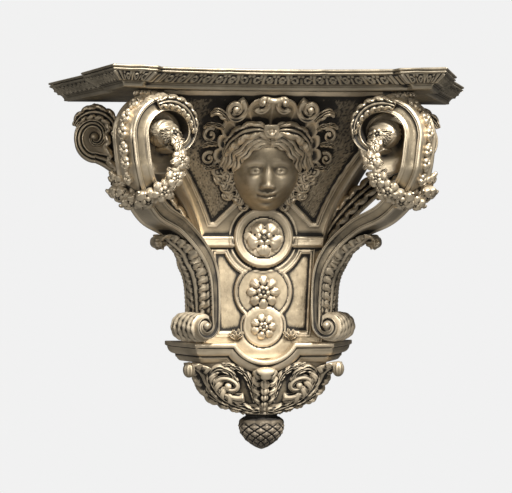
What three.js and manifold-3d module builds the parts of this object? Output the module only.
// A carved and gilded wood wall bracket: a canted shelf on two free front scroll legs, a concave
// central corbel with a woman's mask, flower medallions and strapwork, flat scrolls against the
// wall, a base moulding that dips round the lowest flower, a leaf-carved pendant and a cone finial.
// Millimetres, +Z up, the wall is the plane Y = 0 and the bracket stands out of it towards -Y.
import * as THREE from "three";
import { mergeVertices } from "three/addons/utils/BufferGeometryUtils.js";
import Module from "manifold-3d";

// Shelf
const shelfWallWidth = 520;
const shelfFrontWidth = 350;
const shelfDepth = 228;
const shelfFrontSweep = 30;
const shelfThickness = 23;
const shelfCornerProjection = 11;
const shelfCornerFront = 52;
const shelfCornerSide = 92;
const shelfBottomHeight = 177.5;
const shelfMouldInset = 18;

// Central corbel
const panelDepth = 49;
const waistHalfWidth = 75;
const topHalfWidth = 126;
const lowerHalfWidth = 74;
const wallHalfWidth = 90;
const wallFlare = 22;
const topRailHalfWidth = 135;
const topRailHeight = 5;
const strapWidth = 13;
const strapHeight = 3;
const waistBandWidth = 12;

// Medallions, from the waist down
const medallionRadius = 36;
const medallionHeight = 10;
const medallionRelief = 9;
const flowerRadius = 22;
const middleRadius = 34;
const middleHeight = -56;
const middleFlowerRadius = 20;
const lowRadius = 26;
const lowHeight = -98;
const lowRelief = 4;
const lowFlowerRadius = 14.5;

// Base moulding, pendant and finial
const baseTop = -117;
const baseThickness = 25;
const baseHalfWidth = 117;
const baseFrontHalfWidth = 84;
const baseDepth = 75;
const baseDipClearance = 14;
const pendantHeight = 63;
const pendantHalfWidth = 84;
const pendantDepth = 62;
const neckRadius = 23;
const neckSetback = 30;
const finialHeight = 48;
const finialRadius = 28.5;

// Front scroll legs
const legAngleDeg = 30;
const legKneeDepth = 72;
const legShelfInset = 14;
const legThickness = 38;
const legLowerThickness = 62;
const legRimFlare = 5;
const legChannelDepth = 2.6;
const voluteRimRadius = 41;
const voluteEyeRadius = 20;
const voluteHeight = 129;
const voluteBandWidth = 20;
const kneeBandWidth = 16;
const footBandWidth = 12;
const footVoluteRadius = 14;
const footVoluteHeight = -95;
const footVoluteOut = 7;
const huskCount = 7;
const huskRadius = 6.6;
const garlandFlowerRadius = 10.5;

// Flat scrolls against the wall
const wallScrollThickness = 34;
const wallScrollReach = 204;
const wallScrollHeight = 137;
const wallScrollRadius = 31;
const wallScrollBandWidth = 13;
const wallScrollShift = -6;

// Mask
const faceHalfWidth = 33;
const headHalfHeight = 45;
const headHeight = 87;
const headDepth = 78;
const headLean = 0.5;
const plumeCount = 5;

// Room left between pieces that touch
const seatGap = 0.3;

const wasm = await Module();
wasm.setup();

const legAngle = THREE.MathUtils.degToRad(legAngleDeg);
const legTop = shelfBottomHeight - seatGap;
const smooth = (t) => {
  const s = THREE.MathUtils.clamp(t, 0, 1);
  return s * s * (3 - 2 * s);
};
const mix = THREE.MathUtils.lerp;
const bump = (d, spread) => Math.exp(-(d * d) / (spread * spread));
const mixed = (a, b) => (a + b) / 2;
const point = (x, y, z) => new THREE.Vector3(x, y, z);

// Solids: a loft through closed rings, a three.js geometry made solid, unions and mirrors

function solidFromMesh(positions, triangles) {
  let volume = 0;
  for (let i = 0; i < triangles.length; i += 3) {
    const corners = [0, 1, 2].map((k) => new THREE.Vector3().fromArray(positions, triangles[i + k] * 3));
    volume += corners[0].dot(corners[1].clone().cross(corners[2]));
  }
  const triVerts = volume >= 0 ? triangles : triangles.slice().reverse();
  return new wasm.Manifold(
    new wasm.Mesh({
      numProp: 3,
      vertProperties: new Float32Array(positions),
      triVerts: new Uint32Array(triVerts),
    }),
  );
}

// A skin through rings of equally many points, closed by a fan of triangles at both ends.
function loft(rings) {
  const count = rings[0].length;
  const positions = rings.flatMap((ring) => ring.flatMap((p) => p.toArray()));
  const triangles = [];
  for (let i = 0; i + 1 < rings.length; i++) {
    for (let j = 0; j < count; j++) {
      const a = i * count + j;
      const b = i * count + ((j + 1) % count);
      triangles.push(a, b, b + count, a, b + count, a + count);
    }
  }
  for (const [ring, start, flip] of [
    [rings[0], 0, true],
    [rings[rings.length - 1], (rings.length - 1) * count, false],
  ]) {
    const centre = positions.length / 3;
    const middle = ring.reduce((sum, p) => sum.add(p), point(0, 0, 0)).divideScalar(count);
    positions.push(...middle.toArray());
    for (let j = 0; j < count; j++) {
      const a = start + j;
      const b = start + ((j + 1) % count);
      triangles.push(...(flip ? [centre, b, a] : [centre, a, b]));
    }
  }
  return solidFromMesh(positions, triangles);
}

function solidOf(geometry) {
  geometry.deleteAttribute("normal");
  geometry.deleteAttribute("uv");
  const merged = mergeVertices(geometry, 1e-4);
  return solidFromMesh([...merged.getAttribute("position").array], [...merged.index.array]);
}

const union = (solids) => solids.reduce((sum, solid) => sum.add(solid));

// Carving that overlaps can close small hollows inside, so only the one outer skin is kept.
function outerSkin(solid) {
  const skins = solid.decompose().sort((a, b) => b.volume() - a.volume());
  return skins[0];
}

const mirrored = (solid) => solid.mirror([1, 0, 0]);
const bothSides = (solid) => union([solid, mirrored(solid)]);

function ball(x, y, z, rx, ry, rz, segments = 6, rows = 4) {
  const geometry = new THREE.SphereGeometry(1, segments, rows);
  geometry.scale(rx, ry, rz).translate(x, y, z);
  return solidOf(geometry);
}

// A flower seen from above its own +Z: petals round a dome, flat underneath.
function flower(radius, petals, height, perPetal = 3, rows = 2) {
  const segments = petals * perPetal;
  const rings = [];
  for (let i = 0; i <= rows; i++) {
    const t = i / rows;
    const ring = [];
    for (let j = 0; j < segments; j++) {
      const angle = (2 * Math.PI * j) / segments;
      const lobe = Math.abs(Math.cos((petals * angle) / 2));
      const out = radius * mix(1, 0.16, t) * mix(0.74 + 0.26 * lobe, 1, t);
      const rise = i === 0 ? 0 : height * (0.55 + 0.45 * lobe) * mix(0.72, 0.95, bump(t - 0.45, 0.35));
      ring.push(point(out * Math.cos(angle), out * Math.sin(angle), i === rows ? height * 0.8 : rise));
    }
    if (i === 0) rings.push(ring.map((p) => point(p.x * 0.94, p.y * 0.94, -height * 0.7)));
    rings.push(ring);
  }
  return loft(rings);
}

// Puts a solid that was made along its own +Z at a place, with +Z turned to a direction.
function placed(solid, at, direction) {
  const turn = new THREE.Quaternion().setFromUnitVectors(point(0, 0, 1), direction.clone().normalize());
  const matrix = new THREE.Matrix4().compose(at, turn, point(1, 1, 1));
  return solid.transform(matrix.elements);
}

// A leaf along a curve: wide in the middle, hollowed beside its midrib, with its edge cut in lobes.
function leaf(points, across, width, thickness, lobes = 3, steps = 7) {
  const curve = new THREE.CatmullRomCurve3(points);
  const rings = [];
  for (let i = 0; i <= steps; i++) {
    const t = i / steps;
    const at = curve.getPoint(t);
    const along = curve.getTangent(t);
    const side = across.clone().addScaledVector(along, -across.dot(along)).normalize();
    const up = side.clone().cross(along).normalize();
    const swell = Math.sin(Math.PI * (0.12 + 0.82 * t)) ** 0.6;
    const cut = 1 - 0.16 * (1 + Math.cos(2 * Math.PI * lobes * t)) * 0.5;
    const half = (width / 2) * swell * cut;
    const shape = [
      [-1, 0.1],
      [-0.4, 0.8],
      [0, 0.5],
      [0.4, 0.8],
      [1, 0.1],
      [0, -0.5],
    ];
    rings.push(
      shape.map(([s, h]) =>
        at.clone().addScaledVector(side, s * half).addScaledVector(up, h * thickness),
      ),
    );
  }
  return loft(rings);
}

// Shelf

const sideRun = (shelfWallWidth - shelfFrontWidth) / 2 / shelfDepth;
const sideSlant = Math.hypot(1, sideRun);

// Half-width of the shelf's side line at a depth, moved in by an inset.
const shelfSide = (depth, inset) => shelfWallWidth / 2 - sideRun * depth - inset * sideSlant;

// Depth of the shelf's front line at a distance from the middle: it sweeps back to the middle.
const shelfFront = (x, inset) => shelfDepth - shelfFrontSweep * (1 - (2 * x / shelfFrontWidth) ** 2) - inset;

function shelfRing(inset, z) {
  const out = shelfCornerProjection;
  const cornerStart = shelfDepth - shelfCornerSide + inset;
  const cornerOuter = shelfSide(shelfFront(shelfFrontWidth / 2, inset), inset - out);
  const cornerInner = shelfSide(shelfDepth, -out) - shelfCornerFront + inset;
  const half = [
    [shelfSide(0, inset), 0],
    [shelfSide(cornerStart - 4, inset), cornerStart - 4],
    [shelfSide(cornerStart, inset - out), cornerStart],
    [cornerOuter, shelfFront(cornerOuter, inset - out)],
    [mixed(cornerOuter, cornerInner), shelfFront(mixed(cornerOuter, cornerInner), inset - out)],
    [cornerInner, shelfFront(cornerInner, inset - out)],
    [cornerInner - 4, shelfFront(cornerInner - 4, inset)],
    [cornerInner * 0.64, shelfFront(cornerInner * 0.64, inset)],
    [cornerInner * 0.3, shelfFront(cornerInner * 0.3, inset)],
  ];
  const right = half.map(([x, depth]) => point(x, -depth, z));
  const left = half.map(([x, depth]) => point(-x, -depth, z)).reverse();
  return [...right, ...left];
}

// Inset and height above the shelf's underside, from the soffit to the top.
const shelfProfile = [
  [shelfMouldInset + 4, 0],
  [shelfMouldInset, 0.8],
  [shelfMouldInset, 3.6],
  [shelfMouldInset - 2.5, 6.2],
  [shelfMouldInset - 7, 10.4],
  [shelfMouldInset - 13, 15.4],
  [2.6, 17.2],
  [1, 18.4],
  [2.6, 19.6],
  [0, 20.6],
  [0, shelfThickness],
];

// The carved leaves along the sloping band.
function shelfBandLeaves() {
  const pitch = 42;
  const bandInset = shelfMouldInset - 8.5;
  const out = shelfCornerProjection;
  const leaves = [];
  const row = (place, length) => {
    const count = Math.round(length / pitch);
    for (let i = 0; i < count; i++) {
      const t = (i + 0.5) / count;
      const here = place(t);
      const along = place(t + 0.01).sub(place(t - 0.01));
      const piece = new THREE.OctahedronGeometry(1, 0);
      piece.scale(8, 2.2, 4.4);
      piece.rotateX(Math.PI / 4.4);
      piece.rotateZ(Math.atan2(along.y, along.x));
      piece.translate(here.x, here.y, shelfBottomHeight + 11);
      leaves.push(solidOf(piece));
    }
  };
  const inner = shelfSide(shelfDepth, -out) - shelfCornerFront;
  const onFront = (x, inset) => point(x, -shelfFront(x, inset), 0);
  const onSide = (depth, inset) => point(shelfSide(depth, inset), -depth, 0);
  row((t) => onFront(mix(0, inner, t), bandInset), inner);
  row((t) => onFront(mix(inner + bandInset, inner + 44, t), bandInset - out), 44);
  row((t) => onSide(mix(shelfDepth, shelfDepth - shelfCornerSide + 12, t), bandInset - out), shelfCornerSide - 12);
  row((t) => onSide(mix(shelfDepth - shelfCornerSide, 6, t), bandInset), shelfDepth - shelfCornerSide);
  return bothSides(union(leaves));
}

function makeShelf() {
  const rings = shelfProfile.map(([inset, rise]) => shelfRing(inset, shelfBottomHeight + rise));
  return loft(rings).add(shelfBandLeaves());
}

// Central corbel

const topDepth = shelfDepth - shelfFrontSweep - shelfMouldInset - 8;
const corbelTop = shelfBottomHeight - seatGap;

// How far the front of the corbel stands off the wall at a height: upright below the waist,
// then curving out to the shelf's edge.
const panelAt = (z) => panelDepth + (topDepth - panelDepth) * Math.max(0, z / corbelTop) ** 2.2;
const spreadAt = (z) => Math.min(1, z / (corbelTop * 0.64)) ** 1.55;
const frontHalfAt = (z) =>
  z < 0 ? mix(waistHalfWidth, lowerHalfWidth, smooth(-z / 30)) : mix(waistHalfWidth, topHalfWidth, spreadAt(z));
const wallHalfAt = (z) => mix(frontHalfAt(z) + wallFlare, wallHalfWidth, smooth((25 - z) / 50));

// A point on the corbel's front at x and height z, raised by a relief height.
const onPanel = (x, z, relief) => point(x, -(panelAt(z) + relief), z);

function corbelCore(grow = 0) {
  const below = [1, 0.42, 0.14].map((share) => share * (baseTop - baseThickness + 4));
  const above = [0, 0.12, 0.25, 0.38, 0.51, 0.63, 0.745, 0.835, 0.9, 0.955, 1].map((share) => share * corbelTop);
  const heights = [...below, ...above];
  return loft(
    heights.map((z) => {
      const front = -(panelAt(z) + grow);
      const half = frontHalfAt(z) + grow;
      const wall = wallHalfAt(z) + grow;
      return [point(wall, 0, z), point(half, front, z), point(-half, front, z), point(-wall, 0, z)];
    }),
  );
}

// A flat band raised on the corbel's front along points given as [x, z].
function strap(points, width, relief) {
  const rings = points.map(([x, z], i) => {
    const [xa, za] = points[Math.max(i - 1, 0)];
    const [xb, zb] = points[Math.min(i + 1, points.length - 1)];
    const run = Math.hypot(xb - xa, zb - za);
    const nx = -(zb - za) / run;
    const nz = (xb - xa) / run;
    const section = [
      [-0.5, -4],
      [-0.42, relief],
      [0.42, relief],
      [0.5, -4],
    ];
    return section.map(([s, h]) => onPanel(x + nx * s * width, z + nz * s * width, h));
  });
  return loft(rings);
}

// Points on a circle round the corbel's middle line, from one angle to another in degrees.
function arcPoints(radius, height, from, to, steps) {
  const points = [];
  for (let i = 0; i <= steps; i++) {
    const angle = THREE.MathUtils.degToRad(mix(from, to, i / steps));
    points.push([radius * Math.cos(angle), height + radius * Math.sin(angle)]);
  }
  return points;
}

// A round boss with a turned profile of [radius, relief], facing out of the wall.
function boss(height, profile, segments) {
  const turned = new THREE.LatheGeometry(
    profile.map(([r, h]) => new THREE.Vector2(r, h)),
    segments,
  );
  turned.rotateX(Math.PI);
  turned.translate(0, -panelAt(height), height);
  return solidOf(turned);
}

function makeStrapwork() {
  const rail = strapWidth / 2;
  const edgeHeights = [20, 45, 68, 90, 112, 130];
  const edge = edgeHeights.map((z) => [frontHalfAt(z) - rail - 1, z]);
  const ringFoot = medallionRadius + 9;
  const pieces = [
    strap(edge, strapWidth, strapHeight),
    strap([[frontHalfAt(22), 24], [46, 24], [30, 44], [22, 50]], strapWidth - 2, strapHeight),
    strap([[frontHalfAt(5) + 4, medallionHeight - 5], [medallionRadius - 3, medallionHeight - 5]], waistBandWidth, 6),
    strap([[frontHalfAt(-8) - 2, -8], [47, -8], [ringFoot - 8, -20]], 4, 2.2),
    strap(arcPoints(middleRadius, middleHeight, 52, -52, 7), 4, 2.2),
    strap([[24, -28], [37, -14], [45, -14], [50, -40], [52, -80]], 3.4, 2),
  ];
  return bothSides(union(pieces));
}

function makeMedallions() {
  const medallion = boss(
    medallionHeight,
    [
      [0, -8],
      [medallionRadius, -8],
      [medallionRadius, medallionRelief - 2],
      [medallionRadius - 2.5, medallionRelief],
      [medallionRadius - 6, medallionRelief - 1],
      [flowerRadius + 1.5, medallionRelief - 4.5],
      [0, medallionRelief - 4.5],
    ],
    22,
  );
  const lowDisc = boss(
    lowHeight,
    [
      [0, -8],
      [lowRadius, -8],
      [lowRadius, lowRelief - 1.5],
      [lowRadius - 1.5, lowRelief],
      [0, lowRelief],
    ],
    18,
  );
  const out = point(0, -1, 0);
  const lowFace = panelDepth + lowRelief;
  const flowers = [
    placed(flower(flowerRadius, 7, 8), point(0, -panelAt(medallionHeight) - medallionRelief + 5, medallionHeight), out),
    placed(flower(middleFlowerRadius, 8, 7, 2), point(0, -panelDepth - 0.5, middleHeight), out),
    placed(flower(lowFlowerRadius, 6, 6), point(0, -lowFace + 0.5, lowHeight), out),
  ];
  const domes = [
    ball(0, -panelAt(medallionHeight) - medallionRelief - 2, medallionHeight, 6, 5, 6, 6, 3),
    ball(0, -panelDepth - 6, middleHeight, 5.5, 4, 5.5, 6, 3),
    ball(0, -lowFace - 4, lowHeight, 4, 3.5, 4, 6, 3),
  ];
  return union([medallion, lowDisc, ...flowers, ...domes]);
}

// Base moulding: each profile point is an inset towards the wall and a drop below the top edge.
const baseProfile = [
  [0, 0],
  [0, 5],
  [3, 6.5],
  [4, 11],
  [9, 15],
  [13, 16.5],
  [13, 20],
  [19, baseThickness],
  [44, baseThickness],
  [44, 0],
];

function basePoint(station, inset, drop) {
  const dipRadius = lowRadius + baseDipClearance + drop;
  const below = lowHeight - baseTop + drop;
  const foot = Math.sqrt(Math.max(dipRadius ** 2 - below ** 2, 0));
  const level = baseTop - drop;
  const front = -(baseDepth - inset);
  const start = Math.asin(foot / dipRadius);
  const turns = 6;
  if (station === 0) return point(baseHalfWidth - inset, 0, level);
  if (station === 1) return point(baseHalfWidth - 13 - inset * 0.95, -baseDepth * 0.47 + inset * 0.2, level);
  if (station === 2) return point(baseFrontHalfWidth - inset * 0.45, front, level);
  const angle = mix(start, 0, (station - 3) / turns);
  return point(dipRadius * Math.sin(angle), front, lowHeight - dipRadius * Math.cos(angle));
}

function makeBaseMoulding() {
  const stations = [0, 1, 2, 3, 4, 5, 6, 7, 8, 9];
  const right = stations.map((s) => baseProfile.map(([inset, drop]) => basePoint(s, inset, drop)));
  const left = stations
    .slice(0, -1)
    .reverse()
    .map((s) =>
      baseProfile.map(([inset, drop]) => {
        const p = basePoint(s, inset, drop);
        return point(-p.x, p.y, p.z);
      }),
    );
  return loft([...right, ...left]);
}

// Pendant

const pendantTop = baseTop - baseThickness + 4;
const pendantBottom = pendantTop - pendantHeight;

function pendantRing(t) {
  const z = mix(pendantTop, pendantBottom, t);
  const half = mix(pendantHalfWidth, neckRadius, 0.18 * t + 0.82 * t ** 5);
  const depth = mix(pendantDepth, neckSetback + neckRadius, t ** 1.4);
  const squareness = mix(0.62, 0.98, t);
  const ring = [];
  const steps = 9;
  for (let i = 0; i <= steps; i++) {
    const angle = (Math.PI * i) / steps;
    const c = Math.cos(angle);
    const x = half * Math.sign(c) * Math.abs(c) ** squareness;
    ring.push(point(x, -depth * Math.sin(angle) ** squareness, z));
  }
  return ring;
}

// A point on the pendant: angle 0 is straight ahead and grows to the right, t runs down.
function onPendant(angleDeg, t, out) {
  const half = mix(pendantHalfWidth, neckRadius, 0.18 * t + 0.82 * t ** 5) + out;
  const depth = mix(pendantDepth, neckSetback + neckRadius, t ** 1.4) + out;
  const squareness = mix(0.62, 0.98, t);
  const angle = THREE.MathUtils.degToRad(angleDeg);
  return point(
    half * Math.sin(angle) ** squareness,
    -depth * Math.cos(angle) ** squareness,
    mix(pendantTop, pendantBottom, t),
  );
}

function makePendant() {
  const bowl = loft([0, 0.3, 0.55, 0.75, 0.88, 0.95, 1].map(pendantRing));
  const tip = onPendant(54, 0.1, 14);
  const corner = leaf(
    [
      onPendant(48, 0.95, -1),
      onPendant(50, 0.7, 0),
      onPendant(52, 0.42, 0),
      onPendant(54, 0.2, 4),
      tip.clone().add(point(2, -3, 2)),
      tip.clone().add(point(7, -6, -3)),
      tip.clone().add(point(5, -5, -11)),
    ],
    point(0.62, -0.78, 0).cross(point(0, 0, 1)),
    32,
    5,
    3,
    9,
  );
  const scrollLeaf = leaf(
    [
      onPendant(8, 0.94, -1),
      onPendant(26, 0.74, 0),
      onPendant(36, 0.46, 1),
      onPendant(28, 0.2, 2),
      onPendant(17, 0.28, 2),
      onPendant(18, 0.46, 1),
    ],
    point(0, -1, 0).cross(point(1, 0, 0.2)),
    13,
    4.5,
    3,
    9,
  );
  const centre = leaf(
    [
      point(0, -50, pendantBottom + 4),
      point(0, -58, pendantBottom + 20),
      point(0, -62, pendantBottom + 36),
      point(0, -72, pendantBottom + 47),
      point(0, -80, pendantBottom + 46),
      point(0, -80, pendantBottom + 38),
    ],
    point(1, 0, 0),
    26,
    5,
    3,
  );
  return union([bowl, bothSides(union([corner, scrollLeaf])), centre]);
}

// Flat scrolls against the wall

function makeWallScroll() {
  const path = [];
  const turns = 13;
  for (let i = 0; i <= turns; i++) {
    const t = i / turns;
    const angle = THREE.MathUtils.degToRad(mix(600, 262, t));
    const radius = mix(7, wallScrollRadius - wallScrollBandWidth / 2, t ** 0.8);
    path.push([wallScrollReach + radius * 0.84 * Math.cos(angle), wallScrollHeight + radius * Math.sin(angle), mix(5, wallScrollBandWidth, t)]);
  }
  const tail = new THREE.CatmullRomCurve3([
    point(path[turns][0], path[turns][1], 0),
    point(wallScrollReach - 30, wallScrollHeight - 44, 0),
    point(waistHalfWidth + 50, 58, 0),
    point(waistHalfWidth + 22, 26, 0),
    point(waistHalfWidth + 2, -14, 0),
  ]);
  for (const t of [0.25, 0.5, 0.75, 1]) {
    const p = tail.getPoint(t);
    path.push([p.x, p.y, mix(wallScrollBandWidth, 30, t)]);
  }
  const rings = path.map(([x, z, width], i) => {
    const [xa, za] = path[Math.max(i - 1, 0)];
    const [xb, zb] = path[Math.min(i + 1, path.length - 1)];
    const run = Math.hypot(xb - xa, zb - za);
    const nx = -(zb - za) / run;
    const nz = (xb - xa) / run;
    const depth = wallScrollThickness;
    const section = [
      [-0.5, 0],
      [-0.5, depth - 1],
      [-0.3, depth],
      [0, depth - 4],
      [0.3, depth],
      [0.5, depth - 1],
      [0.5, 0],
    ];
    return section.map(([s, d]) => point(x + nx * s * width, -d, z + nz * s * width));
  });
  const disc = ball(wallScrollReach, -wallScrollThickness / 2, wallScrollHeight, 12, wallScrollThickness / 2, 13, 7, 4);
  const web = new THREE.ExtrudeGeometry(
    new THREE.Shape().absellipse(
      wallScrollReach,
      wallScrollHeight,
      wallScrollRadius * 0.76,
      wallScrollRadius * 0.9,
      0,
      2 * Math.PI,
    ),
    { depth: wallScrollThickness - 12, bevelEnabled: false, curveSegments: 9 },
  );
  web.rotateX(Math.PI / 2);
  const acanthus = leaf(
    [
      point(waistHalfWidth + 18, -wallScrollThickness, 14),
      point(waistHalfWidth + 40, -wallScrollThickness - 1, 44),
      point(waistHalfWidth + 68, -wallScrollThickness - 1, 70),
      point(wallScrollReach - 26, -wallScrollThickness, 92),
    ],
    point(-0.7, 0, 0.7),
    20,
    5,
  );
  return union([loft(rings), disc, solidOf(web), acanthus]);
}

// Mask: an ellipsoid head pushed out and in by face features given as shares of its half sizes.

function headPoint(x, forward, z) {
  return point(x, -(headDepth + forward + headLean * z), headHeight + z);
}

function faceForward(sx, sz) {
  const ax = Math.abs(sx);
  const socket = -0.14 * bump(ax - 0.4, 0.2) * bump(sz - 0.04, 0.13);
  const eyeball = 0.085 * bump(ax - 0.4, 0.14) * bump(sz - 0.0, 0.075);
  const brow = 0.05 * bump(ax - 0.42, 0.3) * bump(sz - 0.2, 0.07);
  const slope = smooth((0.16 - sz) / 0.55) * (sz < -0.43 ? bump(sz + 0.43, 0.035) : 1);
  const nose = (0.1 + 0.24 * slope) * bump(sx, 0.1 + 0.07 * slope) * (sz > 0.16 ? bump(sz - 0.16, 0.12) : 1) * (sz < -0.5 ? 0 : 1);
  const wings = 0.1 * bump(ax - 0.17, 0.07) * bump(sz + 0.4, 0.07);
  const lips = bump(sx, 0.26) * (0.11 * bump(sz + 0.565, 0.045) + 0.12 * bump(sz + 0.67, 0.05));
  const mouth = -0.05 * bump(sx, 0.22) * bump(sz + 0.615, 0.03);
  const chin = 0.15 * bump(sx, 0.26) * bump(sz + 0.88, 0.13);
  const cheeks = 0.06 * bump(ax - 0.5, 0.26) * bump(sz + 0.25, 0.25);
  return socket + eyeball + brow + nose + wings + lips + mouth + chin + cheeks;
}

function makeHead() {
  const rows = 20;
  const columns = 22;
  const rings = [];
  for (let i = 1; i < rows; i++) {
    const tilt = Math.PI * (i / rows - 0.5);
    const ring = [];
    for (let j = 0; j < columns; j++) {
      const even = (2 * Math.PI * j) / columns;
      const turn = even + 0.5 * Math.cos(even);
      const side = Math.cos(turn);
      const front = Math.sin(turn);
      const sz = Math.sin(tilt);
      const girth = Math.cos(tilt) ** 0.85;
      const jaw = 1 - 0.16 * smooth((-0.15 - sz) / 0.8);
      const sx = side * girth * jaw;
      const features = front > 0 ? faceForward(sx, sz) * smooth(front * 3) : 0;
      ring.push(headPoint(sx * faceHalfWidth, (front * girth * 0.95 + features) * faceHalfWidth, sz * headHalfHeight));
    }
    rings.push(ring);
  }
  return loft(rings);
}

// Locks of hair: twisted ropes from the parting down both sides of the face.
function lock(points, radius, sides = 4, steps = 4) {
  const curve = new THREE.CatmullRomCurve3(points.map(([x, forward, z]) => headPoint(x, forward, z)));
  const rings = [];
  for (let i = 0; i <= steps; i++) {
    const t = i / steps;
    const at = curve.getPoint(t);
    const along = curve.getTangent(t);
    const side = along.clone().cross(point(0, 1, 0)).normalize();
    const up = side.clone().cross(along).normalize();
    const girth = radius * Math.sin(Math.PI * (0.16 + 0.7 * t)) ** 0.5;
    const ring = [];
    for (let j = 0; j < sides; j++) {
      const angle = (2 * Math.PI * j) / sides + t * 2.4;
      const reach = girth * (j % 2 ? 0.82 : 1.08);
      ring.push(
        at.clone().addScaledVector(side, reach * Math.cos(angle)).addScaledVector(up, reach * Math.sin(angle)),
      );
    }
    rings.push(ring);
  }
  return loft(rings);
}

function makeHair() {
  const w = faceHalfWidth;
  const h = headHalfHeight;
  const cap = new THREE.SphereGeometry(1, 10, 6);
  cap.scale(w * 1.42, w * 0.95, h * 0.82);
  const capAt = headPoint(0, -16, h * 0.5);
  cap.translate(capAt.x, capAt.y, capAt.z);
  const locks = [
    lock([[-1, 30, h * 0.7], [w * 0.5, 27, h * 0.68], [w * 0.98, 17, h * 0.44], [w * 1.2, 8, h * 0.14]], 7),
    lock([[-1, 25, h * 0.92], [w * 0.6, 24, h * 0.92], [w * 1.16, 12, h * 0.62], [w * 1.42, 4, h * 0.2]], 8),
    lock([[w * 1.1, 8, h * 0.24], [w * 1.3, 4, h * 0.06], [w * 1.2, 4, -h * 0.16], [w * 1.08, 4, -h * 0.3]], 7),
    lock([[w * 1.36, 0, h * 0.1], [w * 1.5, -2, -h * 0.1], [w * 1.4, -2, -h * 0.4], [w * 1.2, 0, -h * 0.5]], 7),
    lock([[w * 1.14, 0, -h * 0.4], [w * 1.16, -2, -h * 0.66], [w * 0.94, -2, -h * 0.8], [w * 0.7, 0, -h * 0.92]], 6),
  ];
  const wing = leaf(
    [
      headPoint(7, 34, h * 0.98),
      headPoint(w * 0.55, 33, h * 1.04),
      headPoint(w * 0.95, 26, h * 0.88),
      headPoint(w * 1.22, 18, h * 0.58),
    ],
    point(0.35, 0, 1),
    17,
    4,
    2,
    5,
  );
  const jewelAt = headPoint(0, 33, h * 1.0);
  const jewel = ball(0, jewelAt.y, jewelAt.z, 8, 8, 8.5);
  return union([solidOf(cap), bothSides(union([...locks, wing])), jewel]);
}

// The fan of plumes behind the head, each ending in a curl.
function makePlumes() {
  const pieces = [];
  for (let i = 0; i < plumeCount; i++) {
    const share = i / (plumeCount - 1);
    const angle = THREE.MathUtils.degToRad(mix(78, -6, share));
    const reach = mix(62, 72, smooth(share * 1.4));
    const rootX = 22 * Math.cos(angle);
    const rootZ = headHeight + 18 + 30 * Math.sin(angle);
    const tipX = reach * Math.cos(angle) + 2;
    const tipZ = Math.min(headHeight + 18 + reach * Math.sin(angle), corbelTop - 16);
    const midX = mix(rootX, tipX, 0.6);
    const midZ = mix(rootZ, tipZ, 0.6);
    const turned = i === 0 ? -1 : 1;
    const sideX = Math.sin(angle) * turned;
    const sideZ = -Math.cos(angle) * turned;
    pieces.push(
      leaf(
        [onPanel(rootX, rootZ, 4), onPanel(midX, midZ, 8), onPanel(tipX, tipZ, 14), onPanel(tipX + sideX * 8, tipZ + sideZ * 8, 15)],
        point(sideX, 0, sideZ),
        24,
        8,
        1,
        4,
      ),
    );
  }
  return bothSides(union(pieces));
}

// Front scroll legs: drawn in their own plane as u outwards and z up, w is the thickness.
// The plane stands at an angle to the wall and leans out as it rises to the shelf's corner.

const voluteMiddle = (shelfSide(shelfDepth, 0) + shelfCornerProjection - legShelfInset - waistHalfWidth) / Math.cos(legAngle);
const eyeU = voluteMiddle - voluteRimRadius - voluteBandWidth / 2;
const leanTotal =
  shelfDepth +
  shelfCornerProjection -
  shelfMouldInset -
  6 -
  legKneeDepth -
  voluteMiddle * Math.sin(legAngle) -
  (legThickness / 2) * Math.cos(legAngle);

function legPoint(u, w, z) {
  const lean = leanTotal * smooth(z / (voluteHeight * 0.713));
  return point(
    waistHalfWidth + u * Math.cos(legAngle) - w * Math.sin(legAngle),
    -(legKneeDepth + u * Math.sin(legAngle) + w * Math.cos(legAngle) + lean),
    z,
  );
}

// The leg's centre line as [u, z, band width], from the eye of the volute to the eye of the foot.
function legPath() {
  const path = [];
  const topSteps = 13;
  for (let i = 0; i <= topSteps; i++) {
    const t = i / topSteps;
    const angle = THREE.MathUtils.degToRad(mix(285, -8, t));
    const radius = mix(voluteEyeRadius - 1, voluteRimRadius, t ** 0.85);
    path.push([
      eyeU + radius * Math.cos(angle),
      voluteHeight + radius * 0.92 * Math.sin(angle),
      mix(4, voluteBandWidth, t ** 0.9),
    ]);
  }
  const outer = eyeU + voluteRimRadius;
  const arm = new THREE.CatmullRomCurve3([
    point(path[topSteps][0], path[topSteps][1], voluteBandWidth),
    point(outer * 0.946, voluteHeight * 0.68, voluteBandWidth),
    point(outer * 0.853, voluteHeight * 0.49, voluteBandWidth),
    point(outer * 0.676, voluteHeight * 0.31, voluteBandWidth * 0.95),
    point(outer * 0.4, voluteHeight * 0.19, kneeBandWidth * 1.06),
    point(outer * 0.17, voluteHeight * 0.03, kneeBandWidth),
    point(outer * 0.02, footVoluteHeight * 0.18, kneeBandWidth * 0.94),
    point(outer * -0.05, footVoluteHeight * 0.4, footBandWidth * 1.08),
    point(footVoluteOut - footVoluteRadius, footVoluteHeight * 0.68, footBandWidth),
    point(footVoluteOut - footVoluteRadius, footVoluteHeight, footBandWidth - 2),
  ]);
  const armSteps = 12;
  for (let i = 1; i <= armSteps; i++) {
    const p = arm.getPoint(i / armSteps);
    path.push([p.x, p.y, p.z]);
  }
  const footSteps = 7;
  for (let i = 1; i <= footSteps; i++) {
    const t = i / footSteps;
    const angle = THREE.MathUtils.degToRad(mix(180, 500, t));
    const radius = mix(footVoluteRadius, 5, t);
    const u = footVoluteOut + radius * Math.cos(angle);
    path.push([u, footVoluteHeight + radius * Math.sin(angle), mix(footBandWidth - 2, 5, t)]);
  }
  return path;
}

const legFront = legThickness / 2;
const legBackAt = (z) => mix(legThickness / 2, legLowerThickness - legThickness / 2, smooth((14 - z) / 40));

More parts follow.
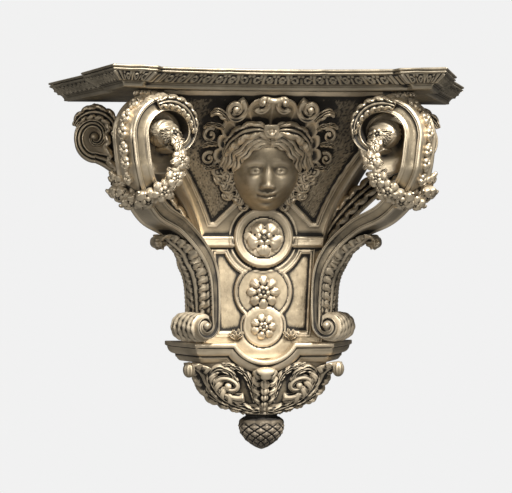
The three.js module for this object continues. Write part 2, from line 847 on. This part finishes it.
function legBand(path) {
  const rings = path.map(([u, z, width], i) => {
    const [ua, za] = path[Math.max(i - 1, 0)];
    const [ub, zb] = path[Math.min(i + 1, path.length - 1)];
    const run = Math.hypot(ub - ua, zb - za);
    const nu = -(zb - za) / run;
    const nz = (ub - ua) / run;
    const section = [
      [0.5, -legBackAt(z), legRimFlare],
      [0.5, legFront, 0],
      [0.34, legFront, 0],
      [0.24, legFront - legChannelDepth, 0],
      [-0.24, legFront - legChannelDepth, 0],
      [-0.34, legFront, 0],
      [-0.5, legFront, 0],
      [-0.5, -legBackAt(z), 0],
    ];
    const flare = smooth(width / voluteBandWidth) * smooth((z + 60) / 60);
    return section.map(([s, w, more]) => {
      const off = s * width + more * flare;
      return legPoint(u + nu * off, w, z + nz * off);
    });
  });
  return loft(rings);
}

function makeHusks(path) {
  const first = 10.8;
  const husks = [];
  for (let i = 0; i < huskCount; i++) {
    const at = first + (i * 5.6) / (huskCount - 1);
    const low = Math.floor(at);
    const share = at - low;
    const u = mix(path[low][0], path[low + 1][0], share);
    const z = mix(path[low][1], path[low + 1][1], share);
    const nu = -(path[low + 1][1] - path[low][1]);
    const nz = path[low + 1][0] - path[low][0];
    const run = Math.hypot(nu, nz);
    const reach = voluteBandWidth / 2 + 3;
    const p = legPoint(u + (nu / run) * reach, 0, z + (nz / run) * reach);
    const size = huskRadius * mix(1.1, 0.8, i / huskCount);
    husks.push(ball(p.x, p.y, p.z, size, size, size * 1.05, 5, 3));
  }
  return union(husks);
}

// Flowers along the garland that hangs from the eye, crosses the leg's front and goes up its back.
function makeGarland() {
  const hung = (out, side, drop) =>
    point(eyeU + out * voluteRimRadius, side * legFront, voluteHeight - drop * voluteRimRadius);
  const rope = new THREE.CatmullRomCurve3([
    hung(0.05, 1.53, 0.29),
    hung(-0.07, 1.58, 0.78),
    hung(0.05, 1.58, 1.17),
    hung(0.29, 1.53, 1.51),
    hung(0.68, 1.42, 1.73),
    hung(1.05, 0.42, 1.9),
    hung(1.24, -0.42, 1.78),
    hung(1.2, -1.26, 1.32),
    hung(0.93, -1.42, 0.98),
    hung(0.39, -1.47, 0.54),
  ]);
  const flowers = 11;
  const steps = flowers * 2;
  const rings = [];
  for (let i = 0; i <= steps; i++) {
    const t = i / steps;
    const p = rope.getPoint(t);
    const next = rope.getTangent(t);
    const side = next.clone().cross(point(0, 0.3, 1)).normalize();
    const up = side.clone().cross(next).normalize();
    const swell = i % 2 ? 1 : 0.55;
    const girth = garlandFlowerRadius * swell * (0.8 + 0.35 * Math.sin(Math.PI * t) ** 2);
    rings.push(
      [0, 1, 2, 3, 4, 5].map((k) => {
        const angle = (2 * Math.PI * k) / 6 + i * 0.5;
        const q = p.clone().addScaledVector(side, girth * Math.cos(angle)).addScaledVector(up, girth * Math.sin(angle));
        return legPoint(q.x, q.y, q.z);
      }),
    );
  }
  return loft(rings);
}

function makeLegLeaves() {
  const across = legPoint(0, 1, 0).sub(legPoint(0, 0, 0));
  const crown = [];
  for (const angleDeg of [20, 48, 76, 104, 132]) {
    const angle = THREE.MathUtils.degToRad(angleDeg);
    const radius = mix(voluteRimRadius + 6, voluteEyeRadius + 14, angleDeg / 180);
    const z = Math.min(voluteHeight + radius * 0.97 * Math.sin(angle), legTop - 5);
    crown.push(legPoint(eyeU + radius * Math.cos(angle), 0, z));
  }
  const top = leaf(crown, across, legThickness + 6, 4, 3, 8);
  const mid = -(legBackAt(-60) - legFront) / 2;
  const foot = leaf(
    [
      legPoint(eyeU * -0.03, mid, footVoluteHeight * 0.83),
      legPoint(eyeU * -0.1, mid, footVoluteHeight * 0.56),
      legPoint(eyeU * 0.07, mid, footVoluteHeight * 0.32),
      legPoint(eyeU * 0.33, mid, footVoluteHeight * 0.11),
      legPoint(eyeU * 0.69, mid * 0.6, voluteHeight * 0.06),
      legPoint(eyeU * 0.92, mid * 0.4, voluteHeight * 0.08),
      legPoint(eyeU * 0.98, mid * 0.4, 0),
    ],
    across,
    legLowerThickness - 8,
    6,
    5,
    11,
  );
  return union([top, foot]);
}

function makeLeg() {
  const path = legPath();
  const eye = legPoint(eyeU, 0, voluteHeight);
  const boss = new THREE.SphereGeometry(1, 10, 6);
  boss.scale(voluteEyeRadius * 0.92, legThickness / 2 + 4, voluteEyeRadius * 0.9);
  boss.rotateZ(legAngle);
  boss.translate(eye.x, eye.y, eye.z);
  const webDepth = legThickness * 0.45;
  const web = new THREE.CylinderGeometry(voluteRimRadius * 0.86, voluteRimRadius * 0.86, webDepth, 16);
  web.scale(1, 1, 1.15);
  web.rotateZ(legAngle);
  const webAt = legPoint(eyeU, -legThickness * 0.13, voluteHeight * 0.95);
  web.translate(webAt.x, webAt.y, webAt.z);
  const rollEnd = -legBackAt(footVoluteHeight) + 4;
  const footAxis = legPoint(footVoluteOut, legFront + 3, footVoluteHeight);
  const footBack = legPoint(footVoluteOut, rollEnd, footVoluteHeight);
  const roll = new THREE.CylinderGeometry(footVoluteRadius - 1, footVoluteRadius + 1, footAxis.distanceTo(footBack), 12);
  const along = footAxis.clone().sub(footBack).normalize();
  roll.applyQuaternion(new THREE.Quaternion().setFromUnitVectors(point(0, 1, 0), along));
  const middle = footAxis.clone().add(footBack).multiplyScalar(0.5);
  roll.translate(middle.x, middle.y, middle.z);
  const shoulder = legPoint(voluteMiddle - 12, 0, legTop - 7);
  const parts = [
    legBand(path),
    solidOf(web),
    solidOf(boss),
    solidOf(roll),
    makeHusks(path),
    makeLegLeaves(),
    makeGarland(),
    ball(shoulder.x, shoulder.y, shoulder.z, 13, 15, 7, 8, 6),
  ];
  const whole = union(parts);
  const below = new THREE.BoxGeometry(shelfWallWidth * 2, shelfWallWidth * 2, shelfWallWidth * 2);
  below.translate(0, 0, legTop - shelfWallWidth);
  return outerSkin(whole.intersect(solidOf(below)).subtract(bodySeat()));
}

// Finial: a turned cone whose swelling is cut in a lattice of scales.
const finialTop = pendantBottom - seatGap;

function makeFinial() {
  const profile = [
    [0, 0],
    [neckRadius - 1, 0],
    [neckRadius + 1, -1.5],
    [neckRadius + 1, -3.5],
    [neckRadius - 3, -5.5],
    [neckRadius - 2, -8],
    [finialRadius * 0.93, -12],
    [finialRadius, -18],
    [finialRadius * 0.97, -24],
    [finialRadius * 0.86, -30],
    [finialRadius * 0.66, -36.5],
    [finialRadius * 0.42, -42],
    [finialRadius * 0.18, -46.5],
    [0, -finialHeight],
  ];
  const segments = 16;
  const geometry = new THREE.LatheGeometry(
    profile.map(([r, h]) => new THREE.Vector2(r, h)).reverse(),
    segments,
  );
  geometry.rotateX(Math.PI / 2);
  const position = geometry.getAttribute("position");
  for (let i = 0; i < position.count; i++) {
    const p = point(position.getX(i), position.getY(i), position.getZ(i));
    const turn = Math.round((Math.atan2(p.y, p.x) / (2 * Math.PI)) * segments);
    const row = profile.findIndex(([, h]) => Math.abs(h - p.z) < 1e-3);
    const carved = row >= 6 && row <= 12;
    const scale = carved && (turn + row) % 2 === 0 ? 0.93 : 1;
    position.setXYZ(i, p.x * scale, p.y * scale, p.z);
  }
  geometry.translate(0, -neckSetback, finialTop);
  return solidOf(geometry);
}

// Assembly

function bodySeat() {
  const core = corbelCore(seatGap);
  const slab = new THREE.BoxGeometry(2 * (topRailHalfWidth + seatGap), topDepth + seatGap, topRailHeight + seatGap);
  slab.translate(0, -(topDepth + seatGap) / 2, corbelTop - (topRailHeight + seatGap) / 2);
  return union([core, solidOf(slab)]);
}

function makeBody(legs) {
  const slab = new THREE.BoxGeometry(2 * topRailHalfWidth, topDepth, topRailHeight);
  slab.translate(0, -topDepth / 2, corbelTop - topRailHeight / 2);
  const parts = [
    corbelCore(),
    solidOf(slab),
    makeStrapwork(),
    makeMedallions(),
    makeBaseMoulding(),
    makePendant(),
    bothSides(makeWallScroll()).translate([wallScrollShift, 0, 0]),
    makeHead(),
    makeHair(),
    makePlumes(),
  ];
  return outerSkin(union(parts).subtract(legs));
}

const giltWood = () =>
  new THREE.MeshStandardMaterial({ color: 0x9c7b3f, roughness: 0.42, metalness: 0.75 });

function meshOf(solid, name) {
  const { vertProperties, triVerts } = solid.getMesh();
  const geometry = new THREE.BufferGeometry();
  geometry.setAttribute("position", new THREE.BufferAttribute(new Float32Array(vertProperties), 3));
  geometry.setIndex(new THREE.BufferAttribute(new Uint32Array(triVerts), 1));
  const mesh = new THREE.Mesh(geometry, giltWood());
  mesh.name = name;
  return mesh;
}

const leg = makeLeg();
const bracket = new THREE.Group();
bracket.add(meshOf(makeShelf(), "shelf"));
bracket.add(meshOf(makeBody(union([leg, mirrored(leg)])), "corbel_body"));
bracket.add(meshOf(leg, "front_scroll_right"));
bracket.add(meshOf(mirrored(leg), "front_scroll_left"));
bracket.add(meshOf(makeFinial(), "finial"));

export default bracket;
